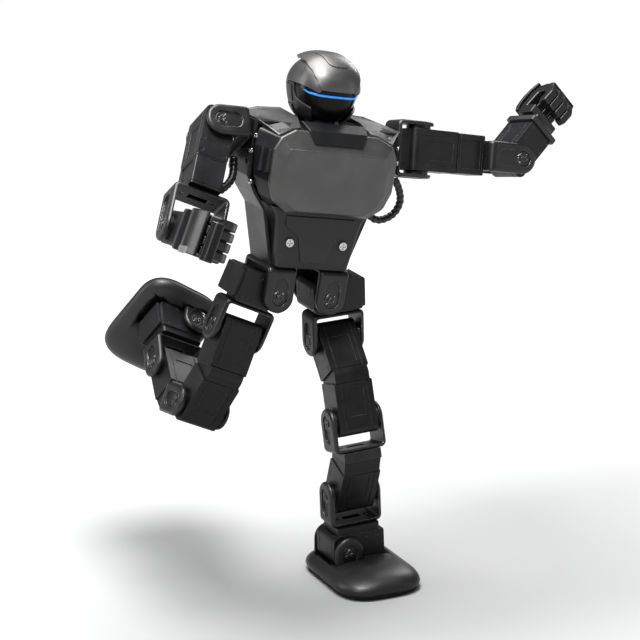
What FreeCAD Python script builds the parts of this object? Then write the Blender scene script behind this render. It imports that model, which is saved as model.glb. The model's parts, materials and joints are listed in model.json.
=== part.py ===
import FreeCAD, Part
import math
import os

# Humanoid robot built from bus servos and U-brackets, standing on its left foot.
# Millimetres. +Z is up, the robot faces -Y and its left side is +X. Every piece is modelled in the frame of
# its own joint and then placed, and the whole robot is moved so that the middle of its box is the origin.

Vector = FreeCAD.Vector
Placement = FreeCAD.Placement
Rotation = FreeCAD.Rotation
X, Y, Z = Vector(1, 0, 0), Vector(0, 1, 0), Vector(0, 0, 1)

# ---- driving dimensions ---------------------------------------------------------------------------------
SERVO_NEAR = 9.5          # horn axis to the near end of the case
SERVO_FAR = 25.5          # horn axis to the far end of the case
SERVO_HALF_WIDTH = 10.25
SERVO_HALF_SPAN = 13.5    # half the distance between the two horn faces
SHAFT_RADIUS = 2.9
SHAFT_LENGTH = 1.6
RUNNING_GAP = 0.07        # radial clearance of a shaft in its horn
FACE_GAP = 0.25           # axial clearance between a servo and its horn disc

BRACKET_INNER = 16.0      # half the space between the arms of a U-bracket
BRACKET_PLATE = 2.5
BRACKET_HALF_DEPTH = 10.0
BRACKET_BASE = 20.0       # pivot to the outside of the base plate
WINDOW_RADIUS = 5.2
WINDOW_DEPTH = 1.2
HORN_RADIUS = 8.0
SCREW_RADIUS = 1.2

HIP_HALF_SPACING = 18.4   # centre line to each hip roll axis
LEG_OFFSET = 10.0         # roll axis to the middle of the leg, outwards
HIP_DROP = 32.0           # hip roll axis to hip pitch axis
THIGH_WEDGE = 24.0        # degrees between the two servos of the thigh
THIGH_GAP = 5.5
SHIN_WEDGE = 36.0         # degrees between the knee bracket and the shin servo
SHIN_GAP = 11.0
ANKLE_RISE = 35.0         # ankle roll axis to ankle pitch axis
ANKLE_HEIGHT = 20.0       # floor to ankle roll axis

SHOULDER_HALF_SPAN = 53.0 # centre line to the base plate of each shoulder bracket
SHOULDER_HEIGHT = 99.5
SHOULDER_LINK = 4.5       # shoulder servo to the base plate of its bracket
ARM_SPACER = 21.0
ELBOW_REACH = 27.0        # far face of the arm spacer to the elbow axis

FRAME_HALF_DEPTH = 15.0
WAIST_SCREW_X = 18.8
WAIST_SCREW_Z = 36.8
WALL = 2.0
BUTTON_RADIUS = 4.5
BUTTON_HEIGHT = 94.0
JACK_RADIUS = 2.75
JACK_X = 15.0
JACK_HEIGHT = 94.0
NECK_Y = 2.0
NECK_Z = 109.2
NECK_HOLE = 10.5
COVER_BASE = 111.1

FOOT_BRACKET_BASE = 16.0
FOOT_FRONT = 56.0         # ankle roll axis to the toe
FOOT_BACK = 26.0          # ankle roll axis to the heel
FOOT_HALF_WIDTH = 30.0
FOOT_HEIGHT = 14.5
FOOT_SHIFT = 11.0         # the foot's middle, outwards from the ankle roll axis
SOLE = 3.0
SOLE_INSET = 1.2
SERVO_COVER = 2.4         # plate on the far end of a roll servo
HEAD_SEMI = Vector(22.5, 26.5, 23.2)
CABLE_RADIUS = 2.6

# degrees at each joint in the standing pose, from the torso outwards
STANCE = {
    "l": {"hip_roll": -11.5, "hip_pitch": -40.0, "knee": 2.0, "ankle_pitch": -24.5, "ankle_roll": 2.7,
          "shoulder_pitch": -12.0, "shoulder_roll": 4.0, "elbow": -50.0},
    "r": {"hip_roll": 16.0, "hip_pitch": -8.0, "knee": 65.0, "ankle_pitch": 7.0, "ankle_roll": -9.5,
          "shoulder_pitch": 55.0, "shoulder_roll": 73.0, "elbow": 64.0},
}
SIDES = {"l": 1, "r": -1}


# ---- placements -----------------------------------------------------------------------------------------
def move(x, y, z):
    return Placement(Vector(x, y, z), Rotation())


def turn(axis, degrees):
    return Placement(Vector(), Rotation(axis, degrees))


def placed(shapes, frame):
    result = []
    for shape in shapes:
        copy = shape.copy()
        copy.Placement = frame * copy.Placement
        result.append(copy)
    return result


def leg_frames(torso, name):
    """The frame of each pivot of one leg, from the hip to the ankle."""
    side, pose = SIDES[name], STANCE[name]
    f = {}
    f["hip_roll"] = torso * move(side * HIP_HALF_SPACING, 0, 0) * turn(Y, pose["hip_roll"])
    f["hip_pitch"] = f["hip_roll"] * move(side * LEG_OFFSET, 0, -HIP_DROP)
    f["thigh"] = f["hip_pitch"] * turn(X, pose["hip_pitch"])
    half = SERVO_FAR + THIGH_GAP / 2
    f["knee"] = f["thigh"] * move(0, 0, -half) * turn(X, THIGH_WEDGE) * move(0, 0, -half)
    f["shin"] = f["knee"] * turn(X, pose["knee"])
    f["ankle_pitch"] = (f["shin"] * move(0, 0, -BRACKET_BASE - SHIN_GAP / 2) * turn(X, SHIN_WEDGE)
                        * move(0, 0, -SERVO_FAR - SHIN_GAP / 2))
    f["ankle"] = f["ankle_pitch"] * turn(X, pose["ankle_pitch"])
    f["ankle_roll"] = f["ankle"] * move(-side * LEG_OFFSET, 0, -ANKLE_RISE)
    f["foot"] = f["ankle_roll"] * turn(Y, pose["ankle_roll"])
    return f


def arm_frames(torso, name):
    """The frame of each pivot of one arm, from the shoulder to the elbow."""
    side, pose = SIDES[name], STANCE[name]
    f = {}
    f["shoulder"] = torso * move(side * SHOULDER_HALF_SPAN, 0, SHOULDER_HEIGHT) * turn(X, pose["shoulder_pitch"])
    f["shoulder_roll"] = f["shoulder"] * move(side * BRACKET_BASE, 0, 0)
    f["arm"] = f["shoulder_roll"] * turn(Z, pose["shoulder_roll"])
    f["elbow"] = f["arm"] * move(side * (SERVO_FAR + ARM_SPACER + ELBOW_REACH), 0, 0)
    f["forearm"] = f["elbow"] * turn(Y, pose["elbow"])
    return f


# ---- basic shapes ---------------------------------------------------------------------------------------
def box(x0, x1, y0, y1, z0, z1):
    return Part.makeBox(x1 - x0, y1 - y0, z1 - z0, Vector(x0, y0, z0))


def rod(radius, start, end):
    start, end = Vector(*start), Vector(*end)
    return Part.makeCylinder(radius, (end - start).Length, start, end - start)


def prism(outline, axis, low, high):
    """Extrude an outline of two coordinates along the third axis, from low to high."""
    place = {"x": lambda a, b: Vector(low, a, b), "y": lambda a, b: Vector(a, low, b),
             "z": lambda a, b: Vector(a, b, low)}[axis]
    points = [place(a, b) for a, b in outline]
    wire = Part.makePolygon(points + points[:1])
    return Part.Face(wire).extrude({"x": X, "y": Y, "z": Z}[axis] * (high - low))


def mirrored_outline(right_half):
    """A closed outline, symmetric about the centre line, from its right half listed top to bottom."""
    return list(right_half) + [(-a, b) for a, b in reversed(right_half)]


def edges_along(shape, direction, test=lambda point: True):
    """Straight edges of the shape that run along a direction and whose middle passes the test."""
    found = []
    for edge in shape.Edges:
        if isinstance(edge.Curve, Part.Line) and abs(edge.tangentAt(edge.FirstParameter).dot(direction)) > 0.999:
            if test(edge.CenterOfMass):
                found.append(edge)
    return found


def rounded(shape, direction, radius, test=lambda point: True):
    return shape.makeFillet(radius, edges_along(shape, direction, test))


def stadium(radius, y0, z0, z1, x0, x1):
    """A bar along X whose section is a slot, round at both ends, from height z0 to z1."""
    bar = box(x0, x1, y0 - radius, y0 + radius, z0 + radius, z1 - radius)
    ends = [rod(radius, (x0, y0, z), (x1, y0, z)) for z in (z0 + radius, z1 - radius)]
    return bar.multiFuse(ends).removeSplitter()


def loft(sections):
    """A solid through outlines in planes across Y, each given as (y, outline)."""
    wires = []
    for y, outline in sections:
        points = [Vector(a, y, b) for a, b in outline]
        wires.append(Part.makePolygon(points + points[:1]))
    return Part.makeLoft(wires, True, True)


def ellipsoid(semi, centre):
    matrix = FreeCAD.Matrix()
    matrix.scale(semi.x, semi.y, semi.z)
    matrix.move(centre)
    return Part.makeSphere(1.0).transformGeometry(matrix)


def cross_slots(radius, depth, top):
    """Two crossed slots that are cut into a screw head whose top faces +X."""
    half = radius * 0.16
    length = radius * 0.72
    return [box(top - depth, top + 1, -half, half, -length, length),
            box(top - depth, top + 1, -length, length, -half, half)]


def cable_path(points, bend):
    """Straight runs joined by tangent arcs."""
    points = [Vector(*p) for p in points]
    edges = []
    start = points[0]
    for before, corner, after in zip(points, points[1:], points[2:]):
        inward = (before - corner).normalize()
        outward = (after - corner).normalize()
        half_turn = (math.pi - inward.getAngle(outward)) / 2
        shorter = min((before - corner).Length, (after - corner).Length)
        radius = bend * shorter / math.tan(half_turn)
        setback = bend * shorter
        first, last = corner + inward * setback, corner + outward * setback
        towards = (inward + outward).normalize()
        reach = radius / math.cos(half_turn) - radius
        edges.append(Part.LineSegment(start, first).toShape())
        edges.append(Part.Arc(first, corner + towards * reach, last).toShape())
        start = last
    edges.append(Part.LineSegment(start, points[-1]).toShape())
    return Part.Wire(edges)


def tube(points, radius, bend=0.45):
    path = cable_path(points, bend)
    start, tangent = Vector(*points[0]), Vector(*points[1]) - Vector(*points[0])
    section = Part.Wire(Part.makeCircle(radius, start, tangent))
    return path.makePipeShell([section], True, True)


# ---- bought parts ---------------------------------------------------------------------------------------
def servo():
    """Case with the horn axis along X through the origin and its long side along +Z."""
    span, width = SERVO_HALF_SPAN, SERVO_HALF_WIDTH
    case = box(-span, span, -width, width, -SERVO_NEAR, SERVO_FAR)
    case = rounded(case, X, 4.5, lambda p: p.z < 0)
    case = rounded(case, X, 1.2, lambda p: p.z > 20)
    groove = 0.4
    for x in (-9.2, 9.2):
        ring = box(x - 0.3, x + 0.3, -width - 1, width + 1, -SERVO_NEAR - 1, SERVO_FAR + 1)
        ring = ring.cut(box(x - 1, x + 1, -width + groove, width - groove, -SERVO_NEAR + groove,
                            SERVO_FAR - groove))
        case = case.cut(ring)
    for x in (-span, span):
        for y in (-7.6, 7.6):
            for z in (14.0, 22.4):
                case = case.cut(rod(1.25, (x - 0.7, y, z), (x + 0.7, y, z)))
    for y in (-1, 1):
        case = case.cut(box(-6.4, 6.4, y * width - 0.35, y * width + 0.35, 3.0, 21.5))
    shafts = [rod(SHAFT_RADIUS, (s * (span - 0.5), 0, 0), (s * (span + SHAFT_LENGTH), 0, 0)) for s in (-1, 1)]
    case = case.multiFuse(shafts)
    screws = []
    for s in (-1, 1):
        for y in (-7.6, 7.6):
            for z in (14.0, 22.4):
                screws.append(rod(1.25, (s * (span - 0.7), y, z), (s * (span - 0.15), y, z)))
    return [case] + screws


def horn_disc(side, inner, outer):
    """Disc on a servo's shaft, between the case and the bracket's arm."""
    disc = rod(HORN_RADIUS, (side * inner, 0, 0), (side * outer, 0, 0))
    pocket = SHAFT_RADIUS + RUNNING_GAP
    socket_end = side * (SERVO_HALF_SPAN + SHAFT_LENGTH + 0.2)
    disc = disc.cut(rod(pocket, (side * (inner - 1), 0, 0), (socket_end, 0, 0)))
    return disc.cut(rod(SCREW_RADIUS, (socket_end, 0, 0), (side * (outer + 1), 0, 0)))


def horn_cap(floor):
    """Retaining disc with one screw and four small ones, seated on a floor that faces +X."""
    base = rod(4.6, (floor, 0, 0), (floor + 0.5, 0, 0))
    head = rod(2.3, (floor, 0, 0), (floor + 1.3, 0, 0))
    small = [rod(0.8, (floor, 3.55 * math.cos(a), 3.55 * math.sin(a)),
                 (floor + 0.9, 3.55 * math.cos(a), 3.55 * math.sin(a)))
             for a in (math.pi / 4, 3 * math.pi / 4, 5 * math.pi / 4, 7 * math.pi / 4)]
    shank = rod(SCREW_RADIUS, (SERVO_HALF_SPAN + SHAFT_LENGTH + 0.3, 0, 0), (floor + 0.2, 0, 0))
    cap = base.multiFuse([head, shank] + small)
    for slot in cross_slots(2.3, 0.6, floor + 1.3):
        cap = cap.cut(slot)
    return cap


def u_bracket(base, plate=BRACKET_PLATE):
    """U around a servo: pivot axis X through the origin, base plate below, with horn discs and screws."""
    inner, depth = BRACKET_INNER, BRACKET_HALF_DEPTH
    half = inner + plate
    body = box(-half, half, -depth, depth, -base, depth)
    body = rounded(body, Y, 4.0, lambda p: p.z < 0)
    body = rounded(body, X, depth - 0.02, lambda p: p.z > 0)
    body = rounded(body, X, 2.0, lambda p: p.z < -base + 0.01)
    space = box(-inner, inner, -depth - 1, depth + 1, -base + BRACKET_PLATE, depth + 1)
    space = rounded(space, Y, 1.5, lambda p: p.z < 0)
    body = body.cut(space)
    window_low = -base + 6.5
    for s in (-1, 1):
        slot = stadium(WINDOW_RADIUS, 0, window_low, WINDOW_RADIUS, half - WINDOW_DEPTH, half + 1)
        if s < 0:
            slot = slot.mirror(Vector(), X)
        body = body.cut(slot)
    body = body.cut(rod(SCREW_RADIUS, (-half - 1, 0, 0), (half + 1, 0, 0)))
    body = body.cut(box(-6.5, 6.5, -2.4, 2.4, -base - 1, -base + BRACKET_PLATE + 1))
    body = body.cut(rod(1.3, (-10.5, 0, -base - 1), (-10.5, 0, 0)))
    body = body.cut(rod(1.3, (10.5, 0, -base - 1), (10.5, 0, 0)))
    cap = horn_cap(half - WINDOW_DEPTH)
    discs = [horn_disc(s, SERVO_HALF_SPAN + FACE_GAP, inner) for s in (-1, 1)]
    return [body.multiFuse(discs + [cap, cap.mirror(Vector(), X)]).removeSplitter()]


# ---- servo and bracket directions -----------------------------------------------------------------------
FLIP = turn(X, 180)
CROSSWISE = turn(Z, 90)


def outwards(side):
    return turn(Y, 90 * side)


# ---- legs -----------------------------------------------------------------------------------------------
def wedge(top, drop, angle, half_width, gap, front_band):
    """Spacer between a flat face and the tilted far face of the servo below it."""
    tilt = math.radians(angle)
    centre = Vector(0, math.sin(tilt) * gap / 2, top - drop - math.cos(tilt) * gap / 2)
    run = Vector(0, math.cos(tilt), math.sin(tilt)) * SERVO_HALF_WIDTH
    front, back = centre - run, centre + run
    width = SERVO_HALF_WIDTH
    outline = [(-width, top), (-width, top - front_band), (front.y, front.z), (back.y, back.z), (width, top)]
    body = prism(outline, "x", -half_width, half_width)
    return body.makeChamfer(0.8, edges_along(body, X, lambda p: p.y < 0 and top - p.z > 0.5 and p.z > front.z))


def foot_outline(inset, low, high, side):
    """Rounded foot plan, longer in front of the ankle than behind it."""
    middle, half = side * FOOT_SHIFT, FOOT_HALF_WIDTH - inset
    plan = box(middle - half, middle + half, -FOOT_FRONT + inset, FOOT_BACK - inset, low, high)
    plan = rounded(plan, Z, 19.0, lambda p: p.y < 0)
    return rounded(plan, Z, 17.0, lambda p: p.y > 0)


def foot_shell(side):
    floor = -ANKLE_HEIGHT
    dome = foot_outline(0.0, floor + SOLE, floor + FOOT_HEIGHT, side)
    top = floor + FOOT_HEIGHT
    dome = dome.makeFillet(8.0, [e for e in dome.Edges if abs(e.BoundBox.ZMin - top) < 0.01
                                 and abs(e.BoundBox.ZMax - top) < 0.01])
    inner, outer = sorted((-side * 12.5, side * 31.5))
    dome = dome.cut(box(inner, outer, -14.3, 14.3, floor + SOLE + 1.5, top + 1))
    return dome.cut(box(-10.6, 10.6, -19.2, 19.2, -FOOT_BRACKET_BASE, top + 1))


def foot_sole(side):
    floor = -ANKLE_HEIGHT
    pad = foot_outline(SOLE_INSET, floor, floor + SOLE, side)
    return pad.makeChamfer(0.8, [e for e in pad.Edges if abs(e.BoundBox.ZMax - floor) < 0.01])


def roll_servo(side):
    """Servo lying on its side, horn axis along Y, far end outwards, with a cover on its outer end."""
    inner, outer = sorted((side * SERVO_FAR, side * (SERVO_FAR + SERVO_COVER)))
    cover = rounded(box(inner, outer, -12.4, 12.4, -9.6, 9.6), X, 1.5)
    return placed(servo(), outwards(side) * CROSSWISE) + [cover]


def ankle_plate(side, thickness):
    """Plate between the ankle roll servo and the base of the bracket above it."""
    near, far = sorted((-side * 5.0, side * 25.0))
    return rounded(box(near, far, -12.5, 12.5, SERVO_HALF_WIDTH, SERVO_HALF_WIDTH + thickness), Z, 2.0)


def add_leg(nodes, torso, name):
    side = SIDES[name]
    f = leg_frames(torso, name)

    def add(piece, shapes, frame):
        nodes[f"{name}_{piece}"] = placed(shapes, frame)

    hip_gap = HIP_DROP - SERVO_HALF_WIDTH - BRACKET_BASE
    ankle_gap = ANKLE_RISE - BRACKET_BASE - SERVO_HALF_WIDTH
    hip_plate = [rounded(box(-12.0, 12.0, -9.5, 9.5, BRACKET_BASE, BRACKET_BASE + hip_gap), Z, 2.0)]
    add("hip_servo", roll_servo(side), f["hip_roll"])
    add("hip_pitch_bracket", placed(u_bracket(BRACKET_BASE), FLIP) + hip_plate, f["hip_pitch"])
    add("thigh_servo", placed(servo(), FLIP), f["thigh"])
    add("thigh_spacer", [wedge(-SERVO_FAR, THIGH_GAP / 2, THIGH_WEDGE, 12.2, THIGH_GAP, 4.2)], f["thigh"])
    add("knee_servo", servo(), f["knee"])
    add("knee_bracket", u_bracket(BRACKET_BASE), f["shin"])
    add("shin_spacer", [wedge(-BRACKET_BASE, SHIN_GAP / 2, SHIN_WEDGE, 13.2, SHIN_GAP, 7.0)], f["shin"])
    add("shin_servo", servo(), f["ankle_pitch"])
    add("ankle_bracket", u_bracket(BRACKET_BASE), f["ankle"])
    add("ankle_servo", roll_servo(side) + [ankle_plate(side, ankle_gap)], f["ankle_roll"])
    add("foot_bracket", placed(u_bracket(FOOT_BRACKET_BASE), CROSSWISE), f["foot"])
    add("foot_shell", [foot_shell(side)], f["foot"])
    add("foot_sole", [foot_sole(side)], f["foot"])


# ---- arms -----------------------------------------------------------------------------------------------
def spacer_box():
    """Housing between the arm servo and the elbow bracket, along +Z from 0."""
    body = rounded(box(-13.2, 13.2, -SERVO_HALF_WIDTH, SERVO_HALF_WIDTH, 0, ARM_SPACER), Z, 1.2)
    for y in (-1, 1):
        body = body.cut(box(-9.5, 9.5, y * SERVO_HALF_WIDTH - 0.6, y * SERVO_HALF_WIDTH + 0.6, 3, ARM_SPACER - 3))
    for z in (1.6, ARM_SPACER - 1.6):
        ring = box(-14, 14, -11, 11, z - 0.3, z + 0.3).cut(box(-12.8, 12.8, -9.85, 9.85, z - 1, z + 1))
        body = body.cut(ring)
    return body


def shoulder_link(side):
    """Disc that joins the shoulder servo's shaft to the base plate of the shoulder bracket."""
    disc = rod(HORN_RADIUS, (-side * (SHOULDER_LINK - FACE_GAP), 0, 0), (0, 0, 0))
    socket_end = -side * (SHOULDER_LINK - SHAFT_LENGTH - 0.2)
    return disc.cut(rod(SHAFT_RADIUS + RUNNING_GAP, (-side * (SHOULDER_LINK + 1), 0, 0), (socket_end, 0, 0)))


def hand_shell():
    """Wrist frame, palm and the curved back of the hand, along +Z from the servo's far face."""
    wrist = rounded(box(-12.5, 12.5, -15.0, 15.0, 0, 4.0), Z, 1.5)
    wrist = wrist.cut(box(-8.0, 8.0, -10.5, 10.5, 1.5, 5.0))
    neck = box(-7.5, 7.5, -9.0, 9.0, 1.5, 8.0)
    palm = box(-12.0, 12.0, -5.0, 10.5, 8.0, 14.0)
    back = prism([(10.5, 8.0), (14.5, 14.0), (14.8, 26.0), (10.0, 35.5), (7.5, 34.5), (11.2, 26.0), (11.0, 15.0),
                  (8.0, 8.0)], "x", -13.5, 13.5)
    return wrist.multiFuse([neck, palm, back]).removeSplitter()


FINGER_PITCH = 6.2
FINGER_WIDTH = 5.8
FINGER_CURL = [(10.7, 14.3), (10.8, 26.0), (7.0, 33.5), (0.5, 35.5), (-7.5, 33.8), (-11.5, 28.0), (-10.5, 19.0),
               (-5.5, 16.5), (-3.8, 20.5), (-5.0, 25.5), (-1.0, 28.5), (3.5, 26.5), (4.8, 14.3)]


def fingers(side):
    """Four fingers curled over the palm, stacked along X, and a thumb across their knuckles."""
    solids = []
    for index in range(4):
        low = -12.2 + FINGER_PITCH * index
        solids.append(prism(FINGER_CURL, "x", low, low + FINGER_WIDTH))
    thumb = prism([(1.2, 35.7), (6.2, 34.2), (6.8, 36.8), (4.4, 39.5), (-0.4, 40.0), (-1.4, 35.7)], "x", -9.0, 14.5)
    solids.append(thumb)
    return solids if side > 0 else [s.mirror(Vector(), X) for s in solids]


def add_arm(nodes, torso, name):
    side = SIDES[name]
    f = arm_frames(torso, name)
    out = outwards(side)
    spacer_end = side * (SERVO_FAR + ARM_SPACER)

    def add(piece, shapes, frame):
        nodes[f"{name}_{piece}"] = placed(shapes, frame)

    bracket = placed(u_bracket(BRACKET_BASE), move(side * BRACKET_BASE, 0, 0) * out)
    add("shoulder_bracket", [bracket[0].fuse(shoulder_link(side))], f["shoulder"])
    add("arm_servo", placed(servo(), out), f["arm"])
    add("arm_spacer", placed([spacer_box()], move(side * SERVO_FAR, 0, 0) * out), f["arm"])
    add("elbow_bracket", placed(u_bracket(ELBOW_REACH), out * CROSSWISE), f["elbow"])
    add("forearm_servo", placed(servo(), out * CROSSWISE), f["forearm"])
    wrist = f["forearm"] * move(side * SERVO_FAR, 0, 0) * out
    add("hand_shell", [hand_shell()], wrist)
    add("fingers", fingers(side), wrist)


# ---- torso ----------------------------------------------------------------------------------------------
FRAME_HALF = [(51.5, 111.0), (51.5, 76.0), (45.0, 65.0), (37.0, 55.0), (27.0, 20.0)]
FRAME_INNER_HALF = [(49.0, 109.3), (49.0, 73.6), (43.0, 65.8), (35.2, 55.8), (25.5, 22.5)]
SHELF_HALF_WIDTH = 48.0
SHELF_HEIGHT = 71.0
CHEST_FRONT_HALF = [(26.0, 97.5), (34.5, 87.5), (34.5, 75.0), (27.0, 61.5)]
CHEST_RIM_HALF = [(28.5, 99.5), (37.5, 88.5), (37.5, 74.0), (29.0, 59.5)]
CHEST_BACK_HALF = [(30.0, 112.5), (50.5, 104.0), (49.5, 77.0), (35.0, 54.5)]


def inset(half, amount):
    """A smaller copy of a right-half outline, moved towards its own middle."""
    low = min(b for a, b in half)
    high = max(b for a, b in half)
    middle = (low + high) / 2
    return [(a - amount, b - math.copysign(min(amount, abs(b - middle)), b - middle)) for a, b in half]


def chest_shell():
    depth = FRAME_HALF_DEPTH + 0.1
    outer = loft([(-34.0, mirrored_outline(CHEST_FRONT_HALF)), (-31.0, mirrored_outline(CHEST_RIM_HALF)),
                  (-depth, mirrored_outline(CHEST_BACK_HALF))])
    inner = loft([(-32.0, mirrored_outline(inset(CHEST_FRONT_HALF, WALL))),
                  (-30.0, mirrored_outline(inset(CHEST_RIM_HALF, WALL))),
                  (-depth + 0.5, mirrored_outline(inset(CHEST_BACK_HALF, WALL)))])
    shell = outer.cut(inner)
    recess = prism(mirrored_outline([(20.0, 120.0), (13.0, 98.6)]), "y", -36, -5)
    return shell.cut(recess)


def back_shell():
    depth = FRAME_HALF_DEPTH + 0.1
    outer = loft([(depth, mirrored_outline(CHEST_BACK_HALF)), (23.0, mirrored_outline(inset(CHEST_BACK_HALF, 4.0))),
                  (27.0, mirrored_outline(inset(CHEST_BACK_HALF, 10.0)))])
    inner = loft([(depth - 0.5, mirrored_outline(inset(CHEST_BACK_HALF, WALL))),
                  (22.0, mirrored_outline(inset(CHEST_BACK_HALF, 6.0))),
                  (25.0, mirrored_outline(inset(CHEST_BACK_HALF, 12.0)))])
    shell = outer.cut(inner)
    shell = shell.cut(rod(17.0, (0, 0, 101), (0, 0, 125)))
    shell = shell.cut(rod(BUTTON_RADIUS + 0.3, (0, 15, BUTTON_HEIGHT), (0, 30, BUTTON_HEIGHT)))
    shell = shell.cut(rod(JACK_RADIUS, (JACK_X, 15, JACK_HEIGHT), (JACK_X, 30, JACK_HEIGHT)))
    for row in range(5):
        z = 70.0 + 3.4 * row
        shell = shell.cut(box(-14, 14, 20, 30, z, z + 1.4))
    return shell


def torso_frame():
    depth = FRAME_HALF_DEPTH
    ring = prism(mirrored_outline(FRAME_HALF), "y", -depth, depth)
    ring = ring.cut(prism(mirrored_outline(FRAME_INNER_HALF), "y", -depth - 1, depth + 1))
    shelf = box(-SHELF_HALF_WIDTH, SHELF_HALF_WIDTH, -depth, depth, SHELF_HEIGHT, SHELF_HEIGHT + 2.0)
    for s in (-1, 1):
        for row in range(3):
            z = 83.0 + 6.0 * row
            ring = ring.cut(box(min(s * 50.6, s * 52), max(s * 50.6, s * 52), -12.6, -9.6, z, z + 3))
    ring = ring.fuse(shelf).removeSplitter()
    ring = ring.cut(rod(HORN_RADIUS + 0.6, (-60, 0, SHOULDER_HEIGHT), (-45, 0, SHOULDER_HEIGHT)))
    ring = ring.cut(rod(HORN_RADIUS + 0.6, (45, 0, SHOULDER_HEIGHT), (60, 0, SHOULDER_HEIGHT)))
    ring = ring.cut(rod(NECK_HOLE, (0, NECK_Y, 105), (0, NECK_Y, 115)))
    return ring


def waist_cover():
    half_bottom, half_top = [(26.5, 53.5), (26.5, 20.6)], [(30.5, 53.5), (26.5, 20.6)]
    depth = FRAME_HALF_DEPTH + 0.1
    bevel = [(28.0, 53.5), (24.5, 21.5)]
    solids = []
    for s in (-1, 1):
        body = loft([(s * depth, mirrored_outline(half_top)), (s * 20.0, mirrored_outline(half_top)),
                     (s * 21.5, mirrored_outline(bevel))])
        hollow = loft([(s * (depth - 1), mirrored_outline([(26.5, 51.5), (23.5, 23.0)])),
                       (s * 19.5, mirrored_outline([(26.5, 51.5), (23.5, 23.0)]))])
        solids.append(body.cut(hollow))
    for x in (-1, 1):
        hole = rod(SCREW_RADIUS, (x * WAIST_SCREW_X, -22, WAIST_SCREW_Z), (x * WAIST_SCREW_X, -18, WAIST_SCREW_Z))
        solids[0] = solids[0].cut(hole)
    return solids


def waist_insert():
    outline = [(24.0, 53.3), (23.5, 47.0), (14.5, 38.0), (10.5, 24.5)]
    body = prism(mirrored_outline(outline), "y", -23.0, -21.5)
    return body.makeChamfer(0.6, [e for e in body.Edges if abs(e.BoundBox.YMax + 23.0) < 0.01])


def waist_screws():
    solids = []
    for x in (-1, 1):
        head = rod(2.7, (21.5, 0, 0), (22.9, 0, 0)).fuse(rod(SCREW_RADIUS, (18.5, 0, 0), (21.6, 0, 0)))
        for slot in cross_slots(2.7, 0.7, 22.9):
            head = head.cut(slot)
        solids += placed([head], move(x * WAIST_SCREW_X, 0, WAIST_SCREW_Z) * turn(Z, -90))
    return solids


def shoulder_covers():
    solids = []
    for s in (-1, 1):
        outline = [(s * 20.0, COVER_BASE), (s * 20.0, 117.0), (s * 40.0, 116.0), (s * 50.5, 113.2),
                   (s * 50.5, COVER_BASE)]
        body = prism(outline, "y", -14.6, 14.6)
        rim = [e for e in body.Edges if abs(abs(e.CenterOfMass.y) - 14.6) < 0.01 and e.CenterOfMass.z > 111.5]
        body = body.makeChamfer(0.9, rim)
        body = body.cut(prism([(s * 22.5, 110.0), (s * 22.5, 114.8), (s * 39.0, 113.8), (s * 44.0, 112.4),
                               (s * 44.0, 110.0)], "y", -11.5, 11.5))
        solids.append(body)
    return solids


def hip_roll_brackets():
    solids = []
    for s in (-1, 1):
        frame = move(s * HIP_HALF_SPACING, 0, 0) * CROSSWISE * FLIP
        solids += placed(u_bracket(BRACKET_BASE, 4.0), frame)
    return solids


def shoulder_servos():
    solids = []
    for s in (-1, 1):
        centre = SHOULDER_HALF_SPAN - SHOULDER_LINK - SERVO_HALF_SPAN
        solids += placed(servo(), move(s * centre, 0, SHOULDER_HEIGHT) * FLIP)
    return solids


def neck_servo():
    centre = NECK_Z - 3.5 - SERVO_HALF_SPAN
    return placed(servo(), move(0, NECK_Y, centre) * turn(Z, 90) * turn(Y, -90))


def battery_pack():
    body = rounded(box(-20.0, 20.0, -12.0, 4.0, 24.0, 69.0), Z, 4.0)
    for z in (35.0, 58.0):
        band = box(-21, 21, -13, 5, z, z + 0.8).cut(box(-19.6, 19.6, -11.6, 3.6, z - 1, z + 2))
        body = body.cut(band)
    return body


def control_board():
    board = box(-22.0, 22.0, 16.0, 17.6, 62.0, 86.0)
    chips = [box(-14.0, -4.0, 17.6, 19.2, 68.0, 78.0), box(4.0, 18.0, 17.6, 20.6, 64.0, 68.0),
             box(4.0, 18.0, 17.6, 20.6, 80.0, 84.0)]
    return board.multiFuse(chips)


def power_button():
    inner = rod(BUTTON_RADIUS, (0, 24.2, BUTTON_HEIGHT), (0, 28.2, BUTTON_HEIGHT))
    rim = [e for e in inner.Edges if abs(e.BoundBox.YMin - 28.2) < 0.01]
    return inner.makeFillet(0.7, rim)


# The left cable hangs in a loop from its shoulder bracket to the side of the torso, in the torso's frame, and the
# right one runs from its shoulder bracket to the arm spacer, in the shoulder's frame.
L_CABLE = [(62.0, 5.0, 78.4), (62.5, 7.0, 68.0), (60.5, 10.0, 57.0), (52.0, 11.0, 54.5), (48.0, 9.5, 59.0),
           (44.6, 8.0, 61.0)]
R_CABLE = [(-4.0, -14.0, -6.0), (-4.6, -23.0, -5.6), (-9.0, -33.0, -4.4), (-17.0, -38.8, -3.0)]


# ---- head -----------------------------------------------------------------------------------------------
HEAD_CENTRE = Vector(0, -2.0, 24.0)
BROW = 28.6               # underside of the helmet's brow
EYE_LINE = 25.2
CHIN_TOP = 7.0
HEAD_REACH = 40           # larger than the head in every direction


def head_layer(shrink):
    return ellipsoid(HEAD_SEMI - Vector(shrink, shrink, shrink), HEAD_CENTRE)


def side_band(outline):
    """A band across the whole head from an outline of (y, z)."""
    return prism(outline, "x", -HEAD_REACH, HEAD_REACH)


def cheeks(gap):
    """The region of the two cheek guards, made larger by a gap."""
    outline = [(-13.0 - gap, 5.0), (-13.0 - gap, 14.0 + gap), (-3.0 - gap, 19.0 + gap), (-3.0 - gap, 26.5 + gap),
               (5.0 + gap, 26.5 + gap), (7.5 + gap, 5.0)]
    return side_band(outline).cut(box(-13, 13, -HEAD_REACH, HEAD_REACH, 0, HEAD_REACH))


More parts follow.
